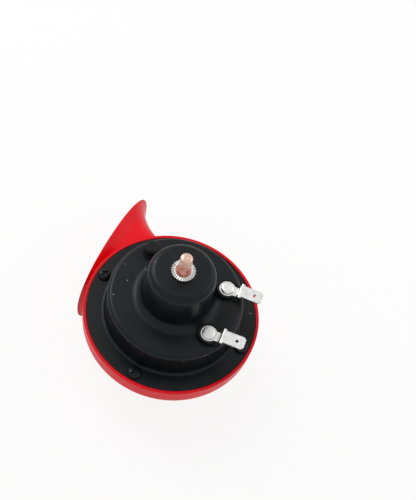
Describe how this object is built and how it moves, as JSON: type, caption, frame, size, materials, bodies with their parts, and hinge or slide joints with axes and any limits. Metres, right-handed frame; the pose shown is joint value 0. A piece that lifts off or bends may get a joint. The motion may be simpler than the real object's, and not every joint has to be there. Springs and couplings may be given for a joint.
{
  "type": "car horn",
  "caption": "Electric car horn with a red moulded snail trumpet, black drawn-steel rear housing, mounting stud and blade terminals.",
  "frame": {"origin": "on the mounting stud's axis, at the face where a bracket seats on the lock washer", "axes": "+Z out along the stud; the trumpet is at -Z and its mouth opens towards -Y"},
  "size_m": [0.1058, 0.0917, 0.0935],
  "materials": {
    "black_painted_steel": "satin black paint on drawn steel",
    "copper_plate": "copper-plated steel",
    "zinc_plate": "bright zinc plate",
    "tin_plate": "bright tin plate",
    "red_plastic": "glossy moulded plastic",
    "black_plastic": "black moulded plastic",
    "black_rubber": "moulded rubber",
    "gasket_rubber": "punched gasket sheet",
    "spring_steel": "blue-grey spring steel",
    "soft_steel": "machined mild steel",
    "nylon": "natural nylon",
    "copper_wire": "enamelled copper wire",
    "brass": "plain brass",
    "phenolic": "brown phenolic laminate",
    "contact_silver": "silver contact"
  },
  "bodies": {
    "horn": {"rear_housing": "black_painted_steel", "core_stud": "copper_plate", "lock_washer": "zinc_plate", "rear_gasket": "gasket_rubber", "diaphragm": "spring_steel", "front_gasket": "gasket_rubber", "flange_screws": "black_painted_steel", "trumpet_shell": "red_plastic", "channel_cover": "black_plastic", "coil_bobbin": "nylon", "coil_winding": "copper_wire", "yoke_plate": "soft_steel", "breaker_post": "phenolic", "fixed_contact": "contact_silver", "breaker_insulator": "phenolic", "contact_bracket": "brass", "breaker_rivet": "brass", "tuning_screw": "zinc_plate", "tuning_nut": "zinc_plate", "tuning_plug": "black_rubber", "terminal_upper": "tin_plate", "terminal_lower": "tin_plate", "terminal_rivets": "tin_plate", "terminal_insulator": "black_plastic", "inner_insulator": "phenolic", "coil_lead_terminal": "copper_wire", "coil_lead_breaker": "copper_wire", "bracket_lead": "copper_wire"},
    "armature": {"armature": "soft_steel", "armature_washer": "zinc_plate"},
    "breaker_arm": {"breaker_arm": "brass", "moving_contact": "contact_silver"}
  },
  "joints": [
    {"name": "armature_stroke", "type": "slide", "parent": "horn", "child": "armature", "axis": [0, 0, 1], "range_m": [0, 0.0006], "stiffness_N_per_m": 2000, "deforming": ["diaphragm"]},
    {"name": "breaker_lift", "type": "hinge", "parent": "horn", "child": "breaker_arm", "pos_m": [-0.0222, -0.01035, -0.0327], "axis": [0.4226, -0.9063, 0], "range_deg": [0, 2.79]}
  ],
  "couplings": [
    {"joint": "breaker_lift", "follows": "armature_stroke", "rad_per_m": 81.301}
  ]
}
